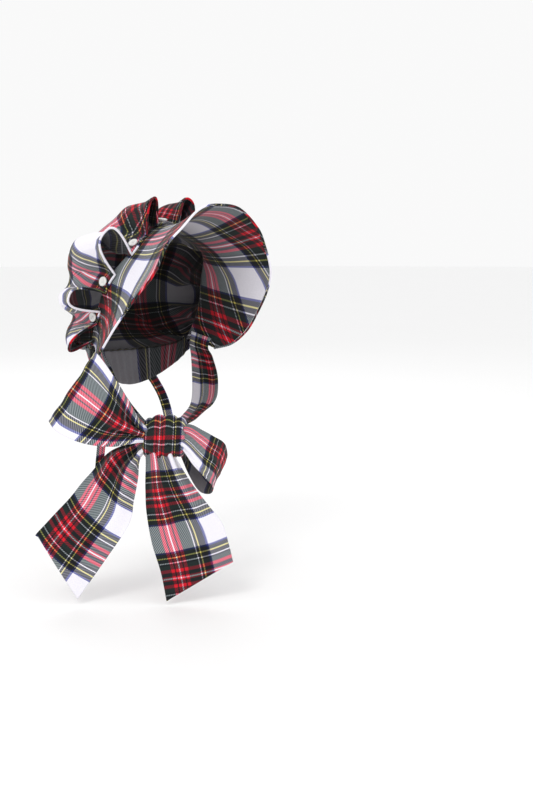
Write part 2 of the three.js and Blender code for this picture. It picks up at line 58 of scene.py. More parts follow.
def unit(vectors):
    return vectors / (np.linalg.norm(vectors, axis=-1, keepdims=True) + 1e-12)


def curveThrough(rows):
    # a smooth curve through the rows of a table, whose first column is the share along it
    rows = np.array(rows, float)
    shares, values = rows[:, 0], rows[:, 1:]
    slopes = np.empty_like(values)
    for i in range(len(rows)):
        low, high = max(i - 1, 0), min(i + 1, len(rows) - 1)
        slopes[i] = (values[high] - values[low]) / (shares[high] - shares[low])

    def at(share):
        share = np.asarray(share, float)
        index = np.clip(np.searchsorted(shares, share, side="left") - 1, 0, len(rows) - 2)
        width = shares[index + 1] - shares[index]
        s = ((share - shares[index]) / width)[..., None]
        width = width[..., None]
        start = 2 * s ** 3 - 3 * s ** 2 + 1
        return (start * values[index] + (1 - start) * values[index + 1]
                + (s ** 3 - 2 * s ** 2 + s) * width * slopes[index]
                + (s ** 3 - s ** 2) * width * slopes[index + 1])
    return at


def bothSides(rows):
    mirrored = [(-row[0], -row[1], *row[2:]) for row in rows[:0:-1]]
    return mirrored + list(rows)


def wornCurve(rows):
    curve = curveThrough(bothSides(rows))

    def at(share):
        point = curve(share)
        return worn(point[..., 0], point[..., 1], point[..., 2])
    return at


def sheetNormals(grid, ring=False):
    down = np.gradient(grid, axis=0)
    if ring:
        across = (np.roll(grid, -1, axis=1) - np.roll(grid, 1, axis=1)) / 2
    else:
        across = np.gradient(grid, axis=1)
    return unit(np.cross(down, across))


def rippled(grid, normals, size, height, seed, stretch=(1, 1, 1)):
    # pushes a grid in and out by soft noise, size apart, height high
    shift = Vector((seed * 17.3, seed * 5.1, seed * 9.7))
    moved = grid.copy()
    rows, columns = grid.shape[:2]
    tall = np.broadcast_to(height, (rows, columns))
    for i in range(rows):
        for j in range(columns):
            if tall[i, j] < 0.01:
                continue
            p = grid[i, j]
            place = Vector((p[0] * stretch[0], p[1] * stretch[1], p[2] * stretch[2])) / size + shift
            moved[i, j] += normals[i, j] * (noise.noise(place) * tall[i, j])
    return moved


def addMesh(name, points, faces, ways=None):
    mesh = bpy.data.meshes.new(name)
    mesh.from_pydata([tuple(p) for p in np.asarray(points) * mm], [], faces)
    piece = bpy.data.objects.new(name, mesh)
    bpy.context.scene.collection.objects.link(piece)
    if ways is not None:
        way = mesh.uv_layers.new(name="clothWay")
        corners = np.array([v for face in faces for v in face])
        way.data.foreach_set("uv", np.asarray(ways)[corners].astype(np.float32).ravel())
    mesh.shade_smooth()
    mesh.update()
    return piece


def closeUp(piece, joinWithin=None):
    # joins points that lie together, and turns every face outwards
    edit = bmesh.new()
    edit.from_mesh(piece.data)
    if joinWithin:
        bmesh.ops.remove_doubles(edit, verts=edit.verts, dist=joinWithin)
    bmesh.ops.recalc_face_normals(edit, faces=edit.faces)
    edit.to_mesh(piece.data)
    edit.free()
    piece.data.shade_smooth()


def clothSheet(name, grid, thick, ways, ring=False, pole=False, normals=None, paintedShade=None):
    # a closed sheet round a grid of points, half the thickness to each side; ways holds
    # each point's place on the flat cloth in millimetres, and the last argument says which of the
    # two faces is the hidden one and how much painted shade darkens its colour
    rows, columns = grid.shape[:2]
    if normals is None:
        normals = sheetNormals(grid, ring)
    if pole:
        normals[0] = unit(normals[1].mean(axis=0))
    upper, lower = grid + normals * thick / 2, grid - normals * thick / 2
    points = np.concatenate([upper.reshape(-1, 3), lower.reshape(-1, 3)])
    under = rows * columns      # where the lower face's points start
    faces = []
    for i in range(rows - 1):
        for j in range(columns if ring else columns - 1):
            k = (j + 1) % columns
            a, b, c, d = (i * columns + j, i * columns + k,
                          (i + 1) * columns + k, (i + 1) * columns + j)
            if pole and i == 0:
                faces += [(a, c, d), (under + a, under + d, under + c)]
            else:
                faces += [(a, b, c, d), (under + a, under + d, under + c, under + b)]
    end = under - columns
    for j in range(columns if ring else columns - 1):
        k = (j + 1) % columns
        faces.append((end + j, end + k, under + end + k, under + end + j))
        if not pole:
            faces.append((j, under + j, under + k, k))
    if not ring:
        for a in range(0, end, columns):
            d = a + columns
            faces.append((a, d, under + d, under + a))
            a, d = a + columns - 1, d + columns - 1
            faces.append((a, under + a, under + d, d))
    piece = addMesh(name, points, faces, np.concatenate([ways.reshape(-1, 2)] * 2))
    # painted shade: how much darker each point of the hidden face is painted, kept for the tartan
    # to multiply into its colour
    hidden = np.zeros(len(points), np.float32)
    if paintedShade is not None:
        face, depth = paintedShade
        hidden[face * under:(face + 1) * under] = np.broadcast_to(depth, (rows, columns)).ravel()
    mark = piece.data.attributes.new("paintedShade", "FLOAT", "POINT")
    mark.data.foreach_set("value", hidden)
    closeUp(piece, 1e-7 if pole else None)
    return piece


def tubeFaces(first, rings, sides):
    # the sides and the two ends of a tube whose points start at first, ring after ring
    faces = []
    for i in range(rings - 1):
        for k in range(sides):
            a, b = first + i * sides + k, first + i * sides + (k + 1) % sides
            faces.append((a, b, b + sides, a + sides))
    faces.append(tuple(first + k for k in range(sides))[::-1])
    faces.append(tuple(first + (rings - 1) * sides + k for k in range(sides)))
    return faces


def roll(name, line, radius, sides, ways):
    # a round roll of cloth along a line, with closed ends
    ahead = unit(np.gradient(line, axis=0))
    across = np.array([0.0, 0.0, 1.0])
    points, pointWays = [], []
    for i, point in enumerate(line):
        across = unit(across - ahead[i] * np.dot(across, ahead[i]))
        third = np.cross(ahead[i], across)
        for k in range(sides):
            angle = 2 * math.pi * k / sides
            points.append(point + radius * (across * math.cos(angle) + third * math.sin(angle)))
            pointWays.append(ways[i] + (0, radius * angle))
    faces = tubeFaces(0, len(line), sides)
    return addMesh(name, points, faces, np.array(pointWays))


def flatLength(points):
    # how far each point lies along the cloth from the first row of points
    steps = np.linalg.norm(np.diff(points, axis=0), axis=-1)
    return np.concatenate([np.zeros_like(steps[:1]), np.cumsum(steps, axis=0)])


def hiddenFace(grid, normals, middle):
    # the face of a sheet that looks towards the middle: 0 is its upper one, 1 its lower one
    return 1 if (normals * (grid - middle)).sum() > 0 else 0


tartan = dict(
    # yarn colours as they look, from 0 to 1; their roots are mixed, darkening the mixes: painted
    # shade between yarns
    white=(0.93, 0.92, 0.955), red=(0.79, 0.095, 0.16), black=(0.08, 0.085, 0.105),
    green=(0.115, 0.155, 0.152), yellow=(0.88, 0.82, 0.36), navy=(0.15, 0.17, 0.44),
    gamma=4.4,
    yarn=0.55,          # millimetres from one yarn to the next
    weaveDepth=0.35, weaveHeight=0.00025,
    roughness=0.86, shine=0.25, sheen=0.12, sheenRoughness=0.5,
    driftSize=0.02, driftBy=1.6,            # the cloth is never quite square
    fleckSize=0.9, fleckDetail=3, fleckDark=0.85, fleckBy=0.3,
    twillLeast=0.25,    # the share of the crosswise yarns where the fewest of them lie on top
    # half a sett from the middle of the red to the middle of the white, in millimetres
    lengthwise=[(0, "white"), (0.45, "red"), (3.4, "black"), (4.6, "red"), (7.6, "green"),
                (18.4, "white"), (19.4, "black"), (21.6, "yellow"), (22.7, "black"),
                (28.6, "navy"), (30.6, "white")],
    lengthwiseHalf=46.0,
    crosswise=[(0, "white"), (0.6, "red"), (2.0, "black"), (5.8, "red"), (8.9, "green"),
               (13.0, "black"), (14.9, "white"), (16.1, "black"), (20.0, "yellow"),
               (21.2, "black"), (25.2, "navy"), (27.0, "white")],
    crosswiseHalf=40.5,
)


def feed(tree, socket, value):
    if isinstance(value, bpy.types.NodeSocket):
        tree.links.new(value, socket)
    else:
        socket.default_value = value


def node(tree, kind, feeds=None, **settings):
    # a shader node with its settings, its inputs fed by values or by other nodes
    made = tree.nodes.new("ShaderNode" + kind)
    for key, value in settings.items():
        setattr(made, key, value)
    for name, value in (feeds or {}).items():
        feed(tree, made.inputs[name], value)
    return made


def reckoned(tree, operation, *values):
    return node(tree, "Math", dict(enumerate(values)), operation=operation).outputs[0]


def mixed(tree, share, one, other):
    return node(tree, "Mix", {0: share, 6: one, 7: other}, data_type="RGBA").outputs[2]


def newFinish(name, surfaceFrom):
    # a material whose surface sockets are filled from what surfaceFrom makes in its tree
    finish = bpy.data.materials.new(name)
    finish.use_nodes = True
    tree = finish.node_tree
    surface = tree.nodes["Principled BSDF"]
    for socket, value in surfaceFrom(tree).items():
        feed(tree, surface.inputs[socket], value)
    return finish


def stripes(tree, along, rows, half):
    # the colour of the yarns at a place, mirrored about the middle of the red
    place = reckoned(tree, "DIVIDE", reckoned(tree, "PINGPONG", along, half), half)
    ramp = node(tree, "ValToRGB", {0: place})
    ramp.color_ramp.interpolation = "CONSTANT"
    points = ramp.color_ramp.elements
    yarns = [(start / half, tuple(part ** 0.5 for part in tartan[colour]))
             for start, colour in rows]
    for point, (start, colour) in zip(points, yarns):
        point.position, point.color = start, (*colour, 1)
    for start, colour in yarns[2:]:
        points.new(start).color = (*colour, 1)
    return ramp.outputs[0]


def tartanCloth(name, paintedShadeStrength=0.0):
    # woven tartan read from the flat cloth's own millimetres
    def surfaceFrom(tree):
        way = node(tree, "UVMap", uv_map="clothWay").outputs[0]
        drift = node(tree, "TexNoise", {"Scale": tartan["driftSize"], "Vector": way})
        driftBy = (tartan["driftBy"], tartan["driftBy"], 0)
        wander = node(tree, "VectorMath", {0: drift.outputs["Color"], 1: driftBy, 2: way},
                      operation="MULTIPLY_ADD")
        split = node(tree, "SeparateXYZ", {0: wander.outputs[0]})
        across, along = split.outputs[0], split.outputs[1]
        lengthwise = stripes(tree, across, tartan["lengthwise"], tartan["lengthwiseHalf"])
        crosswise = stripes(tree, along, tartan["crosswise"], tartan["crosswiseHalf"])
        # two over, two under, stepping one yarn each row
        diagonal = reckoned(tree, "ADD", across, along)
        diagonal = reckoned(tree, "DIVIDE", diagonal, 4 * tartan["yarn"])
        over = reckoned(tree, "PINGPONG", diagonal, 0.5)
        share = reckoned(tree, "MULTIPLY_ADD", over, 1.0, tartan["twillLeast"])
        seen = node(tree, "Gamma", {"Color": mixed(tree, share, lengthwise, crosswise),
                                    "Gamma": tartan["gamma"]})
        flecks = node(tree, "TexNoise", {"Scale": tartan["fleckSize"],
                                         "Detail": tartan["fleckDetail"], "Vector": way})
        fleck = reckoned(tree, "MULTIPLY_ADD", flecks.outputs["Fac"], tartan["fleckBy"],
                         tartan["fleckDark"])
        # painted shade: the hidden face's colour is multiplied down by its stored amount, on top of
        # the cloth's own random flecks
        hidden = node(tree, "Attribute", attribute_name="paintedShade").outputs["Fac"]
        light = reckoned(tree, "MULTIPLY_ADD", hidden, -paintedShadeStrength, 1.0)
        light = reckoned(tree, "MULTIPLY", fleck, light)
        shaded = node(tree, "VectorMath", {0: seen.outputs[0], "Scale": light}, operation="SCALE")
        bothYarns = [reckoned(tree, "PINGPONG", reckoned(tree, "DIVIDE", way, tartan["yarn"]), 0.5)
                     for way in (across, along)]
        height = reckoned(tree, "MULTIPLY", reckoned(tree, "ADD", *bothYarns), 0.5)
        height = reckoned(tree, "ADD", height, over)
        bump = node(tree, "Bump", {"Strength": tartan["weaveDepth"],
                                   "Distance": tartan["weaveHeight"], "Height": height})
        return {"Base Color": shaded.outputs[0], "Normal": bump.outputs[0],
                "Roughness": tartan["roughness"], "Specular IOR Level": tartan["shine"],
                "Sheen Weight": tartan["sheen"], "Sheen Roughness": tartan["sheenRoughness"]}
    return newFinish(name, surfaceFrom)


print("bonnet: tartan ready")

brimMake = dict(thick=2.4, gap=0.35, tuckedBack=12, behindSeam=8, hollow=7, hollowLean=0.8,
                piping=1.2, along=260, across=36, ripple=0.5, rippleSize=26)
# share from the top of the head to the jaw, then side, front and up
seamRows = [(0.0, 0, -8, 3), (0.16, 26, -5, -8), (0.34, 48, 0, -26), (0.585, 64, -20, -58),
            (0.8, 69, -32, -93), (1.0, 67, -47, -124)]
rimRows = [(0.0, 0, 76, 18), (0.104, 24, 76, 14.5), (0.231, 47, 76, -4), (0.319, 60, 71, -19),
           (0.442, 72, 67, -45), (0.559, 81, 52, -66), (0.716, 87, 28, -93),
           (0.81, 88, 13, -109), (0.915, 84, -6, -123), (1.0, 76, -24, -128)]
headMiddle = np.array([0.0, 0.0, -62.0])
seam = wornCurve(seamRows)
pipedEdge = wornCurve(rimRows)


def rim(share):
    edge = pipedEdge(share)
    return edge + unit(seam(share) - edge) * (2 * brimMake["piping"] + brimMake["gap"])


def brimPoint(share, width):
    share, width = np.broadcast_arrays(np.asarray(share, float), np.asarray(width, float))
    front, back = rim(share), seam(share)
    back = back - unit(front - back) * brimMake["tuckedBack"]
    inward = unit(np.stack([-back[..., 0], 0 * back[..., 0], headMiddle[2] - back[..., 2]], -1))
    bow = brimMake["hollow"] * np.sin(np.pi * width ** brimMake["hollowLean"])
    return back + (front - back) * width[..., None] + inward * bow[..., None]


def widthAt(share, distance):
    return distance / (np.linalg.norm(rim(share) - seam(share), axis=-1) + brimMake["tuckedBack"])


def brimOutward(share, width):
    step = 0.01
    along = (brimPoint(np.minimum(share + step, 1), width)
             - brimPoint(np.maximum(share - step, -1), width))
    across = brimPoint(share, width + step) - brimPoint(share, width)
    normal = unit(np.cross(along, across))
    away = brimPoint(share, width) - headMiddle
    return normal * np.sign((normal * away).sum(-1, keepdims=True))


brimLook = dict(
    # which line of the crosswise pattern lies at each share along the brim
    lines=[(-1, -192), (-0.776, -162), (-0.467, -121.5), (-0.2, -81), (0.06, -40.5), (0.275, 0),
           (0.521, 40.5), (0.846, 81), (1, 99)],
    # how far the lengthwise pattern is drawn off its straight grain there
    drawn=[(-1, -10), (-0.776, -7), (-0.467, -12), (-0.1, 0), (0.297, 0), (0.521, 9), (0.846, -12),
           (1, -18)],
    grainUp=30, grainStretch=1.1, whiteMiddle=46.0,
    # the piping's place on the cloth: share, lengthwise, crosswise
    edge=[(-1, 12, 0), (-0.9, 14, 14), (-0.853, 31, 27), (-0.76, 48, 40), (-0.66, 31, 54),
          (-0.6, 12, 68), (-0.46, 4, 84), (-0.36, 14, 98), (-0.274, 31, 108), (-0.16, 50, 121),
          (-0.042, 31, 135), (0.04, 14, 148), (0.2, 6, 164), (0.31, 16, 178), (0.375, 31, 189),
          (0.46, 48, 202), (0.552, 31, 216), (0.62, 14, 228), (0.8, 6, 250), (1, 10, 285)])


def flatAcross(grid):
    # the brim laid out flat as a curved strip: how far each point is up the cloth
    inner = np.linalg.norm(np.diff(grid[0], axis=0), axis=1)
    outer = np.linalg.norm(np.diff(grid[-1], axis=0), axis=1)
    across = flatLength(grid)
    width = across[-1]
    turn = np.concatenate([[0], np.cumsum((outer - inner) / ((width[1:] + width[:-1]) / 2))])
    middle = len(turn) // 2
    turn -= turn[middle]
    up = np.concatenate([[0], np.cumsum(-inner * np.sin((turn[1:] + turn[:-1]) / 2))])
    return up - up[middle] + across * np.cos(turn)


def makeBrim():
    shares = np.linspace(-1, 1, brimMake["along"])
    start = widthAt(shares, brimMake["tuckedBack"] - brimMake["behindSeam"])
    widths = np.linspace(0, 1, brimMake["across"])[:, None]
    grid = brimPoint(shares[None, :], start[None, :] + (1 - start[None, :]) * widths)
    around = curveThrough(brimLook["lines"])(shares)[:, 0]
    drawn = curveThrough(brimLook["drawn"])(shares)[:, 0]
    up = flatAcross(grid)
    lengthwise = (brimLook["whiteMiddle"] + drawn
                  - brimLook["grainStretch"] * (up - brimLook["grainUp"]))
    ways = np.stack([lengthwise, np.broadcast_to(around, up.shape)], -1)
    normals = sheetNormals(grid)
    tall = brimMake["ripple"] * np.sin(np.pi * widths) * np.ones_like(around)
    grid = rippled(grid, normals, brimMake["rippleSize"], tall, 3)
    normals = sheetNormals(grid)
    # painted shade on the brim's inner face, where the head would shade it: darkest at the top by
    # the seam, lighter towards the rim and the ends
    shaded = np.clip(1 - 0.55 * widths - 0.4 * abs(shares)[None], 0.15, 1)
    brim = clothSheet("brimCloth", grid, brimMake["thick"] - 0.2, ways,
                      paintedShade=(hiddenFace(grid, normals, headMiddle), shaded))
    brim.data.materials.append(brimTartan)
    edge = brimPoint(shares, np.ones_like(shares))
    ahead = unit(np.gradient(edge, axis=0))
    outward = edge - brimPoint(shares, np.full_like(shares, 0.99))
    outward = unit(outward - ahead * (outward * ahead).sum(-1, keepdims=True))
    line = edge + outward * (brimMake["piping"] + 0.15)
    lineWays = curveThrough(brimLook["edge"])(shares)
    piping = roll("brimPiping", line, brimMake["piping"] - 0.1, 12, lineWays)
    piping.data.materials.append(pipingTartan)
    return brim, piping


brimTartan = tartanCloth("brim tartan", paintedShadeStrength=0.62)
pipingTartan = tartanCloth("piping tartan")
brim, piping = makeBrim()
print("bonnet: brim made")

crownMake = dict(thick=1.0, hem=1.5, rolled=1.15, hemGap=0.5,
                 centreUp=-62, backFront=-112, backUp=-66,
                 square=2.8, full=0.17, napeSquare=1.9, napeCorner=0.7, napeEnd=0.93,
                 archReach=0.62, archRound=2.4, archSharp=1.2, collarTurn=0.9,
                 drawnFrom=0.55, drawnTo=0.85, drawnBy=0.7,
                 archColumns=34, flatColumns=8, napeColumns=90, domeRows=52, edgeRows=10)
# where each arch leaves the brim and comes back, its tip, belly and how fast it sinks
archRows = [(0.075, 0.17, 23, 0, 25, 3, 1.15), (0.36, 0.515, 76, -7, -8, 6, 0.9),
            (0.64, 0.76, 97, -38, -69, 5, 1.2), (0.84, 0.955, 94, -44, -118, 4, 1.3)]
# the nape's drawn line and the flap's lower edge: share to the side, side, front and up
casing = wornCurve([(0, 0, -78, -129), (0.34, 30, -75, -128), (0.67, 57, -66, -124),
                    (1, 68, -60, -115)])
flapEdge = wornCurve([(0, 0, -71, -165), (0.34, 29, -68, -158), (0.67, 53, -61, -143),
                      (1, 66, -51, -126)])
hemOver = brimMake["thick"] / 2 + crownMake["hem"] + crownMake["hemGap"]


def overBrim(share, ahead, lift):
    width = widthAt(share, ahead)
    return brimPoint(share, width) + brimOutward(share, width) * lift


def crownStations():
    mirrored = [(-b, -a, -side, *rest) for a, b, side, *rest in archRows]
    stations = []       # share, how far it stands off the brim, how fast that fades
    reached = -1.0

    def flatTo(end):
        stations.extend((share, np.zeros(3), 1.0)
                        for share in np.linspace(reached, end, crownMake["flatColumns"]))
    for a, b, side, front, up, belly, fade in sorted(mirrored + archRows):
        flatTo(a)
        ends = overBrim(np.array([a, b, (a + b) / 2]), brimMake["tuckedBack"], hemOver)
        rise = worn(side, front, up) - ends[2]
        along = unit(ends[1] - ends[0])
        for s in np.linspace(0, 1, crownMake["archColumns"])[1:-1]:
            height = (1 - abs(2 * s - 1) ** crownMake["archRound"]) ** crownMake["archSharp"]
            lift = rise * height - along * belly * math.sin(2 * math.pi * s)
            stations.append((a + (b - a) * s, lift, fade))
        reached = b
    flatTo(1)
    return [np.array(column) for column in zip(*stations)]


def domePoint(edge, turn, slack):
    angle = turn * np.pi / 2
    power = 2 / (crownMake["napeSquare"] + (crownMake["square"] - crownMake["napeSquare"]) * slack)
    width = np.sin(angle) ** power * (1 + crownMake["full"] * slack * np.sin(2 * angle))
    depth = np.cos(angle).clip(0, 1) ** power
    centre = crownMake["centreUp"] + (crownMake["backUp"] - crownMake["centreUp"]) * depth
    return np.stack([edge[..., 0] * width,
                     edge[..., 1] + (-crownMake["backFront"] - edge[..., 1]) * depth,
                     centre + (edge[..., 2] - crownMake["centreUp"]) * width], -1)


def crownColumns():
    shares, lifts, fades = crownStations()
    turns = np.linspace(0, 1, crownMake["domeRows"])[:, None]
    past = np.linspace(0, 1, crownMake["edgeRows"] + 1)[1:, None]
    slack = smooth(abs(shares), crownMake["drawnFrom"], crownMake["drawnTo"])
    slack = 1 - crownMake["drawnBy"] * slack

    def reach(turn):
        base = np.clip(1 - (1 - turn) / crownMake["archReach"], 0, 1)
        return base ** fades[None, :]
    collar = overBrim(shares, 0.0, hemOver)
    dome = domePoint(collar[None], turns, slack[None])
    dome = dome + lifts[None] * reach(turns * crownMake["collarTurn"])[..., None]
    ahead = past * (brimMake["tuckedBack"] - crownMake["rolled"] + 0.1)
    edge = overBrim(shares[None, :], np.broadcast_to(ahead, (len(past), len(shares))), hemOver)
    turned = crownMake["collarTurn"] + (1 - crownMake["collarTurn"]) * past
    edge = edge + lifts[None] * reach(turned)[..., None]
    front = np.concatenate([dome, edge])
    napeShares = np.linspace(crownMake["napeEnd"], -crownMake["napeEnd"], crownMake["napeColumns"])
    line, low = casing(napeShares), flapEdge(napeShares)
    napeSlack = (1 - crownMake["drawnBy"]) * smooth(abs(napeShares), crownMake["napeCorner"], 1)
    nape = np.concatenate([domePoint(line[None], turns, napeSlack[None]),
                           line[None] + (low - line)[None] * past[..., None]])
    hemLine = overBrim(shares, brimMake["tuckedBack"], hemOver) + lifts
    # the ring the cloth hangs from, without its arches
    ring = np.concatenate([collar, line])
    return shares, hemLine, np.concatenate([front, nape], axis=1), len(shares), ring


def softened(grid, ring, widest):
    # widens the folds as they run back from the edge, and fills the cloth out between them
    place = flatLength(ring)
    whole = place[-1] + np.linalg.norm(ring[0] - ring[-1])
    apart = abs(place[:, None] - place[None])
    apart = np.minimum(apart, whole - apart)
    share = np.empty_like(place)
    share[1:-1] = (place[2:] - place[:-2]) / 2
    share[0] = share[-1] = (whole - place[-1] + place[1]) / 2
    soft = grid.copy()
    turns = np.linspace(0, 1, crownMake["domeRows"])
    for i, turn in enumerate(turns[1:], 1):
        widen = widest * (1 - smooth(turn, crownLook["widenFrom"], crownLook["widenTo"]))
        widen = np.maximum(widen, 0.15)[:, None]
        weight = np.exp(-apart ** 2 / (2 * widen ** 2)) * share[None]
        soft[i] = (weight / weight.sum(axis=1, keepdims=True)) @ grid[i]
    return soft


crownLook = dict(
    lengthwiseShift=-39.0, crosswiseShift=-38.0, napeFan=33.5, pleatHeight=1.3, pleatApart=9.0,
    ripple=2.0, creaseSize=22, fineSize=9,
    # how far round the flat cloth each share of the edge is drawn from, in degrees
    fan=[(0, 0), (0.12, 26), (0.3, 42), (0.45, 58), (0.6, 82), (0.8, 116), (1, 146.5)],
    # the cloth is pinched only at its edge: behind it the folds widen and it fills
    # out, by this many millimetres at each share to either side of the top
    widen=[(0, 4), (0.1, 9), (0.28, 11), (0.42, 9), (0.58, 6), (0.7, 9), (0.8, 7), (0.9, 8),
           (1, 9)],
    fillOut=[(0, 0), (0.1, 2), (0.28, 4), (0.42, 6), (0.58, 2), (0.7, 6), (0.8, 2), (0.9, 4),
             (1, 0)],
    widenFrom=0.6, widenTo=1.0,
    # how much of its length the flap's pattern takes up, and where it starts on the cloth
    flapDrawn=0.6, flapFrom=-110.0,
    # the rolled edge's place on the cloth: share, lengthwise, crosswise
    edge=[(-1, 20, 0), (-0.955, 8, 10), (-0.9, 3, 2), (-0.84, 6, 12), (-0.8, 26, 24),
          (-0.76, 38, 36), (-0.71, 46, 42), (-0.685, 30, 34), (-0.66, 16, 20), (-0.62, 20, 16),
          (-0.58, 30, 24), (-0.53, 38, 40), (-0.49, 44, 34), (-0.46, 29, 40), (-0.43, 46, 36),
          (-0.4, 30, 41), (-0.36, 48, 36), (-0.28, 28, 22), (-0.17, 6, 8), (-0.12, 0, 0),
          (-0.075, 8, 12), (0, 44, 20), (0.075, 10, 12), (0.12, 2, 3), (0.17, 8, 12),
          (0.28, 30, 22), (0.36, 44, 38), (0.515, 50, 44), (0.58, 30, 24), (0.64, 10, 10),
          (0.7, 2, 3), (0.76, 12, 9), (0.84, 30, 20), (0.9, 40, 36), (1, 20, 0)])


def makeCrown():
    shares, hemLine, grid, count, ring = crownColumns()
    rows, columns = grid.shape[:2]
    aside = np.ones(columns)
    aside[:count] = abs(shares)
    grid = softened(grid, ring, curveThrough(crownLook["widen"])(aside)[:, 0])
    normals = sheetNormals(grid, ring=True)
    if hiddenFace(grid, normals, headMiddle) == 0:
        normals = -normals
    turns = np.clip(np.arange(rows) / (crownMake["domeRows"] - 1), 0, 1)
    fullest = np.maximum(curveThrough(crownLook["fillOut"])(aside)[:, 0], 0)
    full = np.sin(np.pi * np.clip(turns / 0.98, 0, 1) ** 2)
    grid = grid + normals * (full[:, None] * fullest[None])[..., None]
    # pleats that run in from the edge, deepest above the nape
    normals = sheetNormals(grid, ring=True)
    along = flatLength(grid[-1])
    rowShare = np.linspace(0, 1, rows)[:, None]
    nape = np.arange(columns) >= count
    pleats = crownLook["pleatHeight"] * np.cos(along * 2 * np.pi / crownLook["pleatApart"])
    pleats = (pleats * np.where(nape, 0.55, 0.25))[None, :] * smooth(rowShare, 0.45, 0.95)
    grid = grid + normals * pleats[..., None]
    tall = crownLook["ripple"] * smooth(rowShare, 0.05, 0.5) * np.where(nape, 0.8, 1.0)[None, :]
    # soft creases, long ones and then fine ones, which run from front to back
    grid = rippled(grid, normals, crownLook["creaseSize"], tall, 1, (1, 0.35, 1))
    grid = rippled(grid, normals, crownLook["fineSize"], tall * 0.3, 2, (1, 0.4, 1))
    radius = flatLength(grid)
    # the flat round cloth: its angle goes with the length of the edge
    edgeLength = flatLength(grid[-1, :count])
    half = edgeLength[-1] / 2
    reachAngle = 180 - crownLook["napeFan"]
    angle = np.empty(columns)
    drawnFrom = (edgeLength - half) / half
    angle[:count] = 90 - np.sign(drawnFrom) * curveThrough(crownLook["fan"])(abs(drawnFrom))[:, 0]
    napePart = np.linspace(0, 1, columns - count + 2)[1:-1]
    angle[count:] = (90 - reachAngle) - napePart * 2 * crownLook["napeFan"]
    # at the back the cloth lies flat, so there its angle is the one seen from behind
    seen = np.degrees(np.arctan2(grid[..., 2] - grid[0, 0, 2], grid[..., 0]))
    seen = np.where(seen < -90, seen + 360, seen)
    drawn = np.broadcast_to(np.where(angle < -90, angle + 360, angle), seen.shape)
    angle = np.radians(seen + (drawn - seen) * smooth(turns, 0.35, 0.95)[:, None])
    evenRadius = radius * 0.45 + radius.mean(axis=1, keepdims=True) * 0.55
    dome = crownMake["domeRows"] - 1
    below = (evenRadius[dome:, count:] - evenRadius[dome, count:]) * crownLook["flapDrawn"]
    evenRadius[dome:, count:] = evenRadius[dome, count:] + below
    ways = np.stack([evenRadius * np.cos(angle) + crownLook["lengthwiseShift"],
                     evenRadius * np.sin(angle) + crownLook["crosswiseShift"]], -1)
    # below the casing the flap shows the cloth's next white stripe
    below = evenRadius[dome + 1:, count:] - evenRadius[dome, count:]
    ways[dome + 1:, count:, 1] = crownLook["flapFrom"] - below
    normals = sheetNormals(grid, ring=True)
    # painted shade on the crown's inner face, the hollow the head would sit in
    crown = clothSheet("crownCloth", grid, crownMake["thick"], ways, ring=True, pole=True,
                       normals=normals, paintedShade=(hiddenFace(grid, normals, headMiddle), 1))
    crown.data.materials.append(crownTartan)
    hemWays = curveThrough(crownLook["edge"])(shares)
    hem = roll("crownHem", hemLine, crownMake["rolled"], 12, hemWays)
    hem.data.materials.append(hemTartan)
    return crown, hem


crownTartan = tartanCloth("crown tartan", paintedShadeStrength=0.82)
hemTartan = tartanCloth("hem tartan")
crown, hem = makeCrown()
print("bonnet: crown made")

buttonMake = dict(radius=4.8, thick=2.0, behindHem=8, lift=1.25, holeOut=1.15, holeRadius=0.42,
                  thread=0.28, threadHigh=0.75, threadSinks=0.9,
                  shares=(-0.8, -0.58, -0.28, 0, 0.28, 0.58, 0.8))


def plainFinish(name, colour, roughness, grainSize, grainDepth, sheen=0.0, darker=0.9):
    # one colour with a fine grain, whose spots are darker by that share
    def surfaceFrom(tree):
        where = node(tree, "TexCoord").outputs["Object"]
        grain = node(tree, "TexNoise", {"Scale": grainSize, "Detail": 4, "Vector": where})
        grain = grain.outputs["Fac"]
        tone = mixed(tree, grain, (*(part * darker for part in colour), 1), (*colour, 1))
        bump = node(tree, "Bump", {"Strength": grainDepth, "Distance": 0.0002, "Height": grain})
        return {"Base Color": tone, "Normal": bump.outputs[0], "Roughness": roughness,
                "Sheen Weight": sheen}
    return newFinish(name, surfaceFrom)


buttonWhite = plainFinish("white button", (0.84, 0.84, 0.82), 0.3, 220, 0.15)
threadWhite = plainFinish("white thread", (0.8, 0.79, 0.8), 0.8, 900, 0.5)


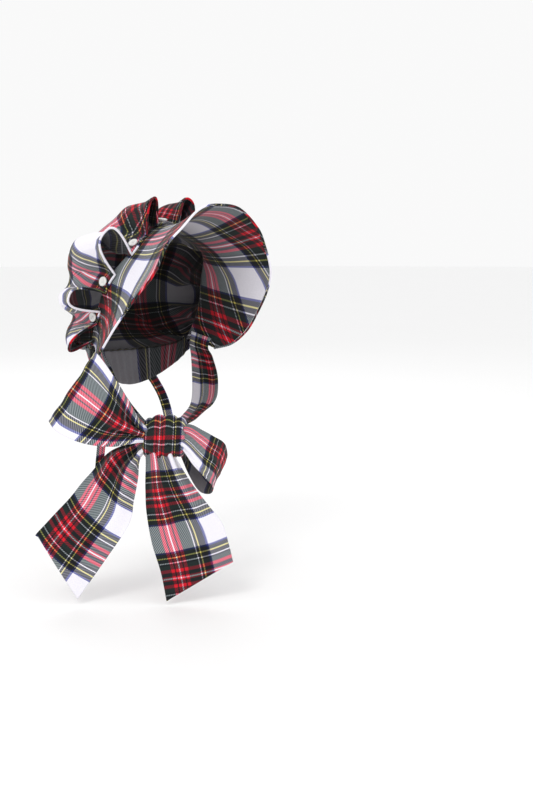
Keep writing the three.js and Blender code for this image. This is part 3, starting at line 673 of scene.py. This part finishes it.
def buttonBody():
    # a turned profile with a raised rim, dished in the middle, and four holes
    radius, thick = buttonMake["radius"], buttonMake["thick"]
    profile = [(0, -thick / 2), (radius * 0.8, -thick / 2), (radius * 0.96, -thick / 2 + 0.3),
               (radius, 0), (radius * 0.97, thick / 2 - 0.25), (radius * 0.86, thick / 2),
               (radius * 0.72, thick / 2 - 0.12), (radius * 0.6, thick / 2 - 0.5),
               (0, thick / 2 - 0.6)]
    edit = bmesh.new()
    line = [edit.verts.new((x, 0, z)) for x, z in profile]
    edges = [edit.edges.new(pair) for pair in zip(line, line[1:])]
    bmesh.ops.spin(edit, geom=line + edges, axis=(0, 0, 1), cent=(0, 0, 0), dvec=(0, 0, 0),
                   angle=2 * math.pi, steps=40, use_duplicate=False)
    bmesh.ops.remove_doubles(edit, verts=edit.verts, dist=1e-4)
    bmesh.ops.recalc_face_normals(edit, faces=edit.faces)
    mesh = bpy.data.meshes.new("buttonBody")
    edit.to_mesh(mesh)
    edit.free()
    body = bpy.data.objects.new("buttonBody", mesh)
    bpy.context.scene.collection.objects.link(body)
    for k in range(4):
        angle = math.pi / 4 + k * math.pi / 2
        bpy.ops.mesh.primitive_cylinder_add(
            vertices=14, radius=buttonMake["holeRadius"], depth=6,
            location=Vector((math.cos(angle), math.sin(angle), 0)) * buttonMake["holeOut"])
        drill = bpy.context.object
        cut = body.modifiers.new("hole", "BOOLEAN")
        cut.object, cut.operation, cut.solver = drill, "DIFFERENCE", "EXACT"
        bpy.context.view_layer.objects.active = body
        bpy.ops.object.modifier_apply(modifier=cut.name)
        bpy.data.objects.remove(drill)
    return body


def makeButtons():
    body = buttonBody()
    points = np.array([v.co for v in body.data.vertices])
    faces = [tuple(f.vertices) for f in body.data.polygons]
    bpy.data.objects.remove(body)
    made = []
    for index, share in enumerate(buttonMake["shares"]):
        share = np.array(float(share))
        ahead = brimMake["tuckedBack"] - buttonMake["behindHem"]
        normal = brimOutward(share, widthAt(share, ahead))
        lift = buttonMake["lift"] + buttonMake["thick"] / 2
        place = overBrim(share, ahead, hemOver) + normal * lift
        turn = np.array(Vector(normal).to_track_quat("Z", "Y").to_matrix()).T
        button = addMesh(f"button{index + 1}", points @ turn + place, faces)
        button.data.materials.append(buttonWhite)
        made.append(button)
        for k, ending in enumerate(("Thread", "ThreadOver")):
            angle = math.pi / 4 + k * math.pi / 2
            end = np.array([math.cos(angle), math.sin(angle), 0]) * buttonMake["holeOut"]
            reach = np.linspace(-1, 1, 9)[:, None]
            high = buttonMake["threadHigh"] - buttonMake["threadSinks"] * abs(reach) ** 4
            line = end * reach + np.array([0, 0, 1]) * high
            thread = roll(f"button{index + 1}{ending}", line @ turn + place, buttonMake["thread"],
                          8, np.zeros((9, 2)))
            thread.data.materials.append(threadWhite)
            made.append(thread)
    return made


buttons = makeButtons()
print("bonnet: buttons sewn on")

bowMake = dict(turn=38, knotAlong=-9, knotOut=46, knotUp=-205, knotDepth=0.68, thick=0.8,
               lengthSteps=190, widthSteps=56, ripple=1.4, rippleSize=24, folds=2,
               hemWide=0.035, hemRaised=0.45,
               gathers=(2.4, 30, 3.5))      # how deep, how far from the knot, how many


def inBow(p):
    turn = math.radians(bowMake["turn"])
    along, out, up = p[..., 0], p[..., 1], p[..., 2]
    return worn(along * math.cos(turn) - out * math.sin(turn),
                along * math.sin(turn) + out * math.cos(turn), up)


def asWorn(p):
    return worn(p[..., 0], p[..., 1], p[..., 2])


def row(share, a, b, puff=0, pleat=0):
    return (share, *a, *b, puff, pleat)


ribbons = {
    # each ribbon from the knot out: edge a, edge b, puff and pleat; redAt is where the red
    # middle lies across it, and line (share, millimetres) the crosswise pattern's place
    "bowLoopRight": dict(node="bow_loop_right", place=inBow, width=74, redAt=38, line=(0.47, 61),
                         gathers=(6.0, 40, 2.6), rows=[
        row(0, [-22, 50, -196], [-22, 50, -209]),
        row(0.06, [-32, 55, -188], [-35, 53, -208], 0, 1.5),
        row(0.17, [-43, 64, -166], [-62, 62, -210], -4, 2.5),
        row(0.29, [-58, 63, -140], [-88, 64, -206], -6, 1.5),
        row(0.41, [-71, 55, -123], [-111, 57, -197], -4),
        row(0.47, [-75, 47, -122], [-119, 46, -189]),
        row(0.53, [-73, 43, -127], [-117, 37, -190], 2),
        row(0.64, [-64, 42, -141], [-96, 34, -200], 2),
        row(0.78, [-49, 42, -166], [-68, 37, -206], 2, 1.5),
        row(0.92, [-36, 43, -189], [-40, 40, -206], 0, 2),
        row(1, [-22, 42, -198], [-22, 42, -208])]),
    "bowLoopLeft": dict(node="bow_loop_left", place=inBow, width=66,
                        redAt=18, line=(0.2, 40), rows=[
        row(0, [4, 50, -193], [4, 52, -212]),
        row(0.1, [15, 54, -191], [9, 60, -217], 0, 1.5),
        row(0.24, [28, 56, -197], [18, 68, -228], 3, 1),
        row(0.36, [39, 52, -204], [27, 69, -238], 4),
        row(0.46, [50, 41, -213], [38, 57, -252], 3),
        row(0.53, [53, 31, -226], [35, 43, -262]),
        row(0.6, [50, 22, -229], [25, 32, -262], -3),
        row(0.72, [39, 16, -216], [15, 22, -249], -4),
        row(0.86, [23, 20, -203], [7, 24, -230], -2, 1),
        row(1, [4, 39, -201], [2, 39, -212])]),
    "bowTailRight": dict(node="bow_tail_right", place=inBow, width=66,
                         redAt=18, line=(0, 38), rows=[
        row(0, [-27, 48, -198], [-24, 52, -214]),
        row(0.09, [-38, 44, -208], [-33, 50, -223], 0, -3),
        row(0.24, [-64, 42, -219], [-36, 60, -240], 3, -4.5),
        row(0.42, [-83, 47, -240], [-40, 66, -263], 3, -3),
        row(0.6, [-103, 53, -264], [-44, 66, -285], 2, -1.6),
        row(0.8, [-131, 58, -293], [-64, 64, -316], 2),
        row(1, [-133, 58, -296], [-95, 61, -360], 2)]),
    "bowTailLeft": dict(node="bow_tail_left", place=inBow, width=66,
                        redAt=18, line=(0, 28), rows=[
        row(0, [-28, 50, -212], [-4, 50, -212]),
        row(0.1, [-27, 57, -226], [3, 54, -225], 0, -3.5),
        row(0.3, [-28, 62, -252], [16, 60, -247], 0, -5),
        row(0.5, [-27, 66, -276], [33, 62, -270], -3, -4),
        row(0.7, [-22, 68, -306], [46, 62, -288], -2, -2),
        row(0.85, [-14, 69, -334], [52, 62, -308], 0, -0.5),
        row(1, [-9, 69, -362], [56, 62, -326])]),
    "chinStrapRight": dict(node="chin_strap_right", place=asWorn, width=66,
                           redAt=18, line=(0, 30), rows=[
        row(0, [-69.6, -24.4, -117.6], [-60.2, -45.5, -110.6], 2),
        row(0.12, [-66.8, -26, -127], [-58.4, -46, -124], 1, 0.5),
        row(0.25, [-66, -20, -136], [-56, -42, -138], 0, 1.5),
        row(0.5, [-61, -10, -156], [-50, -34, -162], -1, 1.2),
        row(0.78, [-51, 4, -182], [-39, -17, -187], -1, 1.2),
        row(1, [-43, 20, -197], [-34, 10, -202])]),
    "chinStrapLeft": dict(node="chin_strap_left", place=asWorn, width=66,
                          redAt=18, line=(0, 50), rows=[
        row(0, [69.6, -24.4, -117.6], [60.2, -45.5, -110.6], -2),
        row(0.08, [66.8, -26, -127], [58.4, -46, -124], -1, -0.5),
        row(0.18, [66, -18, -136], [56, -40, -138], 0, -1.5),
        row(0.36, [60, -2, -158], [49, -30, -164], 1, -1.2),
        row(0.55, [45, 12, -178], [35, -16, -184], 1, -1.2),
        row(0.78, [14, 25, -189], [4, 2, -197], 1, -1.2),
        row(1, [-20, 34, -196], [-22, 22, -202])]),
}


def tieRow(share, middle, half):
    return row(share, [m + h for m, h in zip(middle, half)], [m - h for m, h in zip(middle, half)])


narrowTies = {
    "napeLoopLeft": dict(node="nape_loop_left", rows=[
        tieRow(0, [-4, -88, -134], [0, 1, 3]), tieRow(0.12, [12, -102, -127], [0.5, 0, 4.8]),
        tieRow(0.26, [32, -106, -119], [1, -0.5, 4.8]), tieRow(0.39, [54, -98, -113], [1, -1, 4.8]),
        tieRow(0.48, [69, -86, -113], [0, -1, 5]), tieRow(0.54, [74, -79, -116], [-0.5, -1, 5]),
        tieRow(0.6, [68, -84, -121], [-0.5, -1.5, 5]), tieRow(0.72, [50, -94, -124], [0, -1.5, 5]),
        tieRow(0.86, [26, -98, -129], [0, -1, 5]), tieRow(1, [-4, -85, -137], [0, 0, 3])]),
    "napeLoopRight": dict(node="nape_loop_right", rows=[
        tieRow(0, [-16, -85, -136], [1, 1, 3.5]), tieRow(0.14, [-32, -84, -139], [1, 1.5, 4.5]),
        tieRow(0.28, [-50, -76, -144], [1.5, 2.5, 4]), tieRow(0.4, [-64, -63, -152], [2, 3.5, 2.5]),
        tieRow(0.5, [-71, -50, -163], [3, 4, 0.5]), tieRow(0.6, [-65, -52, -173], [3, 4, -1]),
        tieRow(0.7, [-54, -62, -171], [2, 4.5, 1]), tieRow(0.82, [-38, -72, -161], [0, 4.5, 2]),
        tieRow(1, [-16, -82, -141], [-1, 3, 3])]),
    "napeTailLeft": dict(node="nape_tail_left", rows=[
        tieRow(0, [-6, -84, -141], [1, 1, 2.5]), tieRow(0.13, [9, -85, -144], [1.5, 1, 4]),
        tieRow(0.26, [26, -84, -151], [3.5, 1, 3.2]), tieRow(0.42, [39, -81, -167], [4.5, 1, 1.6]),
        tieRow(0.6, [47, -76, -188], [4, 2.5, 1]), tieRow(0.8, [50, -71, -214], [3.5, 3.5, 0]),
        tieRow(1, [50, -66, -243], [4, 2.5, -0.5])]),
    "napeTailRight": dict(node="nape_tail_right", rows=[
        tieRow(0, [-12, -86, -141], [4, 1, 1]), tieRow(0.16, [-18, -84, -155], [4.5, 1.5, 1.5]),
        tieRow(0.36, [-26, -79, -178], [4, 2.5, 1.5]),
        tieRow(0.56, [-35, -73, -202], [4.5, 1.5, 1.5]),
        tieRow(0.78, [-44, -66, -230], [4, 2, 1.5]), tieRow(1, [-52, -60, -258], [3, 3, 1])]),
}


def ribbonGrid(rows, place, lengthSteps, widthSteps):
    curve = curveThrough(rows)
    u = np.linspace(0, 1, lengthSteps)
    v = np.linspace(0, 1, widthSteps)

    def flat(u, v):
        value = curve(u)
        a, b = place(value[..., 0:3]), place(value[..., 3:6])
        return a + (b - a) * np.asarray(v, float)[..., None]
    middle = np.full_like(u, 0.5)
    ahead = flat(np.minimum(u + 0.01, 1), middle) - flat(np.maximum(u - 0.01, 0), middle)
    across = flat(u, np.ones_like(u)) - flat(u, np.zeros_like(u))
    normal = unit(np.cross(ahead, across))
    value = curve(u)
    puff, pleat = value[:, 6:7], value[:, 7:8]
    bowed = puff * 4 * v * (1 - v) + pleat * np.cos(2 * np.pi * bowMake["folds"] * v)
    gridU, gridV = np.meshgrid(u, v, indexing="ij")
    return flat(gridU, gridV) + normal[:, None] * bowed[..., None]


def makeRibbon(name, look, seed):
    grid = ribbonGrid(look["rows"], look["place"], bowMake["lengthSteps"], bowMake["widthSteps"])
    length = flatLength(grid[:, grid.shape[1] // 2])
    normals = sheetNormals(grid)
    # the cloth is gathered into finer folds where it comes out of the knot
    v = np.linspace(0, 1, grid.shape[1])
    fromKnot = length if "Tail" in name else np.minimum(length, length[-1] - length)
    deep, reach, count = look.get("gathers", bowMake["gathers"])
    gathered = deep * np.exp(-fromKnot / reach) * smooth(fromKnot, -8, 10)
    waves = (np.cos(2 * np.pi * count * v + seed) * 0.75
             + np.cos(2 * np.pi * count * 1.7 * v + 2 * seed) * 0.25)
    if "Strap" not in name:
        grid = grid + normals * (gathered[:, None] * waves[None])[..., None]
    hemmed = (np.minimum(v, 1 - v) < bowMake["hemWide"]) * bowMake["hemRaised"]
    grid = grid + normals * hemmed[None, :, None]
    tall = bowMake["ripple"] * np.sin(np.pi * np.clip(length / length[-1], 0.02, 0.98)) ** 0.5
    grid = rippled(grid, normals, bowMake["rippleSize"], tall[:, None], seed)
    along = flatLength(grid)
    share, line = look["line"]
    along = along - along[int(share * (len(along) - 1))] + line
    even = np.polynomial.polynomial.polyvander(v, 3)       # the woven lines run smoothly across
    along = (even @ np.linalg.lstsq(even, along.T, rcond=None)[0]).T
    ways = np.stack([np.broadcast_to(v * look["width"] - look["redAt"], along.shape), along], -1)
    # painted shade on a loop's inner face, in its hollow
    hollow = None
    if "Loop" in name:
        hollow = (hiddenFace(grid, normals, grid.mean(axis=(0, 1))), 1)
    piece = clothSheet(name, grid, bowMake["thick"], ways, paintedShade=hollow)
    piece.data.materials.append(tieTartan)
    return piece, look["width"], float(length[-1])


def makeTie(name, look, seed):
    grid = ribbonGrid(look["rows"], asWorn, 150, 9)
    length = flatLength(grid[:, 4])
    normals = sheetNormals(grid)
    v = np.linspace(-1, 1, 9)
    grid = grid + normals * (0.5 * (1 - v ** 2))[None, :, None]    # a folded strip is a bit full
    grid = rippled(grid, normals, 14, 1.0 * np.ones(grid.shape[:2]), seed)
    ways = np.stack(np.broadcast_arrays(v[None] * 5 + seed * 31, length[:, None] + seed * 13), -1)
    piece = clothSheet(name, grid, 1.0, ways)
    piece.data.materials.append(tieTartan)
    return piece, float(length[-1])


tieTartan = tartanCloth("tie tartan", paintedShadeStrength=0.75)
madeRibbons = {name: makeRibbon(name, look, 4 + i)
               for i, (name, look) in enumerate(ribbons.items())}
madeTies = {name: makeTie(name, look, 12 + i) for i, (name, look) in enumerate(narrowTies.items())}
print("bonnet: ribbons and ties tied")

knotRows = [(-22.5, 0), (-21.8, 9), (-18.8, 16), (-13, 19.4), (-6, 20.3), (0, 20.6), (6, 20.2),
            (13, 19), (18.8, 15.6), (21.8, 8.5), (22.5, 0)]
knotLook = dict(redAt=7, wrap=66, rings=110, sides=130, foldWide=12.5, foldDeep=1.7, wander=0.85,
                wrapLong=15, line=5)


def gridFaces(rows, columns):
    return [(a, a + 1, a + columns + 1, a + columns)
            for start in range(0, (rows - 1) * columns, columns)
            for a in range(start, start + columns - 1)]


def makeKnot():
    rows = np.array(knotRows, float)
    path = curveThrough(np.column_stack([np.linspace(0, 1, len(rows)), rows]))
    t = np.linspace(0, 1, knotLook["rings"])
    profile = path(t)
    angle = np.linspace(0, 2 * np.pi, knotLook["sides"], endpoint=False)
    along = np.broadcast_to(profile[:, :1], (len(t), len(angle)))
    radius = np.maximum(profile[:, 1:2], 0) * np.ones_like(angle)
    # finer folds of the wrap, which wander as they go round
    middle = np.sin(np.pi * t)[:, None] ** 0.5
    folds = np.cos(np.pi * (along / knotLook["foldWide"] + knotLook["wander"] * np.sin(angle + 0.6)
                            + 0.12 * np.sin(3 * angle)))
    folds = knotLook["foldDeep"] * (2 * abs(folds) ** 0.8 - 1.2)
    radius = radius + folds * middle
    waist = 1 - 0.05 * np.cos(2 * angle)[None]
    local = np.stack([along + 1.2 * np.sin(angle)[None] * middle,
                      bowMake["knotOut"] + radius * waist * bowMake["knotDepth"] * np.cos(angle),
                      bowMake["knotUp"] + radius * waist * np.sin(angle)], -1)
    local[..., 0] += bowMake["knotAlong"]
    points = inBow(local)
    # the pattern's join is hidden at the knot's back
    points = np.concatenate([points, points[:, :1]], axis=1)
    angle = np.append(angle, 2 * np.pi)
    ways = np.stack(np.broadcast_arrays(profile[:, :1] * knotLook["wrap"] / 45 + knotLook["redAt"],
                                        angle[None] * knotLook["wrapLong"] + knotLook["line"]), -1)
    faces = gridFaces(*points.shape[:2])
    knot = addMesh("bowKnot", points.reshape(-1, 3), faces, ways.reshape(-1, 2))
    closeUp(knot, 1e-6)
    knot.data.materials.append(tieTartan)
    return knot


napeKnotMake = dict(size=(14, 10, 12), share=-0.11, behind=7, below=5.8, rows=40, columns=65)


def makeNapeKnot():
    middle = casing(np.array(napeKnotMake["share"]))
    middle = middle + np.array([0, napeKnotMake["behind"], -napeKnotMake["below"]])
    up = np.linspace(-np.pi / 2, np.pi / 2, napeKnotMake["rows"])
    around = np.linspace(0, 2 * np.pi, napeKnotMake["columns"])
    size = np.array(napeKnotMake["size"]) / 2
    bump = 1 + 0.07 * np.cos(5 * up[:, None] + 0.8 * np.sin(around))
    points = np.stack([size[0] * np.sin(up)[:, None] * np.ones_like(around),
                       size[1] * np.cos(up)[:, None] * np.cos(around) * bump,
                       size[2] * np.cos(up)[:, None] * np.sin(around) * bump], -1) + middle
    ways = np.stack(np.broadcast_arrays(up[:, None] * 8 + 12, around[None] * 6), -1)
    faces = gridFaces(*points.shape[:2])
    knot = addMesh("napeKnot", points.reshape(-1, 3), faces, ways.reshape(-1, 2))
    closeUp(knot, 1e-6)
    knot.data.materials.append(tieTartan)
    return knot


bowKnot = makeKnot()
napeKnot = makeNapeKnot()
print("bonnet: knots made")

sprigMake = dict(stem=[(-28, -77), (-12, -69), (6, -58), (26, -40)], stemWide=1.7,
                 stitchStep=0.55, slant=0.5, threadRadius=0.32, raised=0.45,
                 leaves=(0.1, 0.24, 0.38, 0.52, 0.66, 0.8), leafLong=14, leafWide=4.6, leafTurn=48,
                 berries=((2, -46), (-15, -55), (9, -71), (-4, -79)), berryWide=5.0)
threadRed = plainFinish("red thread", (0.55, 0.03, 0.02), 0.5, 1400, 0.6, sheen=0.3)


def sprigStrokes():
    # each stroke is a line of (side, up) with its width there
    t = np.linspace(0, 1, 60)
    stem = curveThrough(np.column_stack([np.linspace(0, 1, 4), sprigMake["stem"]]))(t)
    strokes = [(stem, sprigMake["stemWide"] * (0.55 + 0.45 * np.sin(np.pi * t) ** 0.5))]
    for k, share in enumerate(sprigMake["leaves"]):
        foot = stem[int(share * 59)]
        ahead = unit(stem[min(int(share * 59) + 1, 59)] - foot)
        side = 1 if k % 2 else -1
        turn = math.radians(sprigMake["leafTurn"]) * side
        away = np.array([ahead[0] * math.cos(turn) - ahead[1] * math.sin(turn),
                         ahead[0] * math.sin(turn) + ahead[1] * math.cos(turn)])
        u = np.linspace(0, 1, 30)
        sweep = side * np.array([away[1], -away[0]])
        leaf = foot + away * (u * sprigMake["leafLong"] + 1.2)[:, None]
        leaf = leaf + sweep * (2.2 * u ** 2)[:, None]
        strokes.append((leaf, sprigMake["leafWide"] * np.sin(np.pi * u ** 0.8) + 0.5))
    u = np.linspace(-1, 1, 16)
    for centre in sprigMake["berries"] + (tuple(stem[-1] + (2, 1.6)),):
        berry = np.column_stack([u * sprigMake["berryWide"] / 2, 0 * u]) + centre
        strokes.append((berry, sprigMake["berryWide"] * np.sqrt(np.clip(1 - u ** 2, 0.02, 1))))
    return strokes


def makeSprig():
    crownTree = BVHTree.FromObject(crown, bpy.context.evaluated_depsgraph_get())

    def onCrown(side, up, raised):
        start = Vector((side * mm, 0.3, up * mm))
        hit, normal, _, _ = crownTree.ray_cast(start, Vector((0, -1, 0)))
        normal = normal if normal.y > 0 else -normal
        return np.array(hit) / mm + np.array(normal) * raised
    points, faces = [], []
    for line, wide in sprigStrokes():
        length = flatLength(line)
        count = max(int(length[-1] / sprigMake["stitchStep"]), 3)
        for at in np.linspace(0, length[-1], count):
            here, after, before = [np.array([np.interp(spot, length, line[:, k]) for k in (0, 1)])
                                   for spot in (at, at + 0.4, at - 0.4)]
            ahead = unit(after - before)
            across = unit(np.array([-ahead[1], ahead[0]]) + ahead * sprigMake["slant"])
            half = np.interp(at, length, wide) / 2
            stitch = []
            for w in np.linspace(-1, 1, 6):
                spot = here + across * half * w
                stitch.append(onCrown(spot[0], spot[1], 0.1 + sprigMake["raised"] * (1 - w ** 2)))
            stitch = np.array(stitch)
            along = unit(np.gradient(stitch, axis=0))
            aside = unit(np.cross(along, np.array([0.0, 1.0, 0.0])))
            raised = np.cross(along, aside)
            faces += tubeFaces(len(points), len(stitch), 5)
            for i, spot in enumerate(stitch):
                for k in range(5):
                    angle = 2 * math.pi * k / 5
                    points.append(spot + sprigMake["threadRadius"]
                                  * (aside[i] * math.cos(angle) + raised[i] * math.sin(angle)))
    sprig = addMesh("sprigStitches", points, faces)
    sprig.data.materials.append(threadRed)
    return sprig


sprig = makeSprig()
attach(sprig, "root")
print("bonnet: sprig embroidered")

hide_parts("brim")
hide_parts("brim_piping")
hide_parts("crown")
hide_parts("crown_hem")
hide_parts("bow_knot")
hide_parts("nape_knot")
for index in range(7):
    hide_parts(f"button_{index + 1}")
slots = {"brim_tartan": [brim], "piping_cloth": [piping], "crown_tartan": [crown],
         "hem_cloth": [hem], "white_button": buttons, "tie_tartan": [bowKnot],
         "nape_tie_tartan": [napeKnot]}
for name, look in ribbons.items():
    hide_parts(look["node"])
    slots["tie_tartan"].append(madeRibbons[name][0])
for name, look in narrowTies.items():
    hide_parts(look["node"])
    slots["nape_tie_tartan"].append(madeTies[name][0])
for slotName, pieces in slots.items():
    for piece in pieces:
        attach(piece, "root")


print("bonnet: pieces ride on the root")

cameraPlace = dict(turn=-38, away=1.2, up=-0.013, lens=54.0, panRight=4.46, pitchDown=7.69)


def makeCamera():
    data = bpy.data.cameras.new("camera")
    camera = bpy.data.objects.new("camera", data)
    bpy.context.scene.collection.objects.link(camera)
    turn = math.radians(cameraPlace["turn"])
    away = cameraPlace["away"]
    camera.location = (away * math.sin(turn), -away * math.cos(turn), cameraPlace["up"])
    look = turn - math.radians(cameraPlace["panRight"])
    camera.rotation_euler = (math.radians(90 - cameraPlace["pitchDown"]), 0, look)
    data.lens, data.sensor_width = cameraPlace["lens"], 36
    data.clip_start, data.clip_end = 0.05, 60
    bpy.context.scene.camera = camera


studio = dict(floorUp=-0.366, floorWide=28, floorColour=(0.96, 0.96, 0.96),
              worldColour=(1.0, 1.0, 1.0), worldStrength=0.95)
lamps = [  # name, place, size, watts, colour: aimed at the middle of the bonnet
    ("key", (-1.55, -0.75, 1.35), 0.7, 12, (1.0, 0.99, 0.97)),
    ("fill", (-0.2, -2.0, 0.2), 1.5, 2, (0.97, 0.98, 1.0)),
    ("back", (0.8, 1.4, 1.2), 1.0, 4, (1.0, 1.0, 1.0)),
]


def makeStudio():
    bpy.ops.mesh.primitive_circle_add(vertices=128, radius=studio["floorWide"] / 2,
                                      fill_type="NGON", location=(0, 0, studio["floorUp"]))
    floor = bpy.context.object
    floor.name = "floor"
    paper = plainFinish("pale floor", studio["floorColour"], 0.9, 3, 0.05, darker=0.985)
    floor.data.materials.append(paper)
    for name, place, size, watts, colour in lamps:
        data = bpy.data.lights.new(name, "AREA")
        data.size, data.energy, data.color = size, watts, colour
        lamp = bpy.data.objects.new(name, data)
        lamp.location = place
        aim = Vector((-0.02, -0.02, -0.15)) - Vector(place)
        lamp.rotation_euler = aim.to_track_quat("-Z", "Y").to_euler()
        bpy.context.scene.collection.objects.link(lamp)
    world = bpy.data.worlds.new("studio")
    bpy.context.scene.world = world
    world.use_nodes = True
    sky = world.node_tree.nodes["Background"]
    sky.inputs[0].default_value = (*studio["worldColour"], 1)
    sky.inputs[1].default_value = studio["worldStrength"]
    bpy.context.scene.view_settings.view_transform = "Standard"


makeCamera()
makeStudio()
print("bonnet: camera and light set")

print("bonnet: done")
